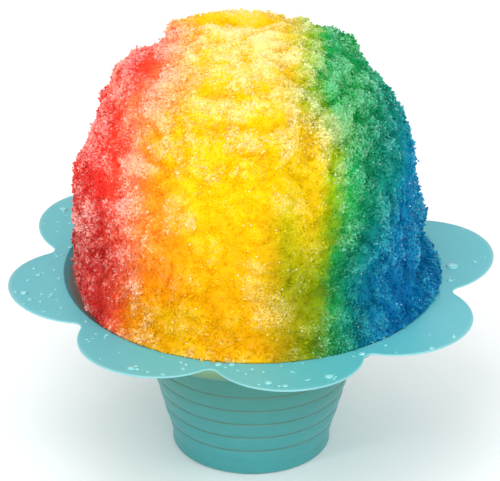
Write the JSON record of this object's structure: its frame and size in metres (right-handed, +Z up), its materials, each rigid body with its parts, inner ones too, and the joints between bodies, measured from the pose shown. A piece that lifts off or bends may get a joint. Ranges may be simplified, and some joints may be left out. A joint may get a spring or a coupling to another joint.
{
  "type": "shaved ice dessert",
  "caption": "Tall dome of shaved ice in bands of coloured syrup, heaped in a ribbed plastic cup whose brim opens into a drip tray with round petals.",
  "frame": {"origin": "middle of the cup's foot, on the surface it stands on", "axes": "+Z up; -Y is the front; the red band is at -X and the blue one at +X"},
  "size_m": [0.1502, 0.1502, 0.1423],
  "materials": {
    "turquoise_plastic": "thin moulded plastic that lets light through, with fine grooves round the cup",
    "syrup_ice": "wet grainy shaved ice soaked with syrup in bands of red, orange, yellow, green, teal and blue"
  },
  "bodies": {
    "root": {"flower_cup": "turquoise_plastic", "shaved_ice": "syrup_ice"}
  },
  "joints": []
}
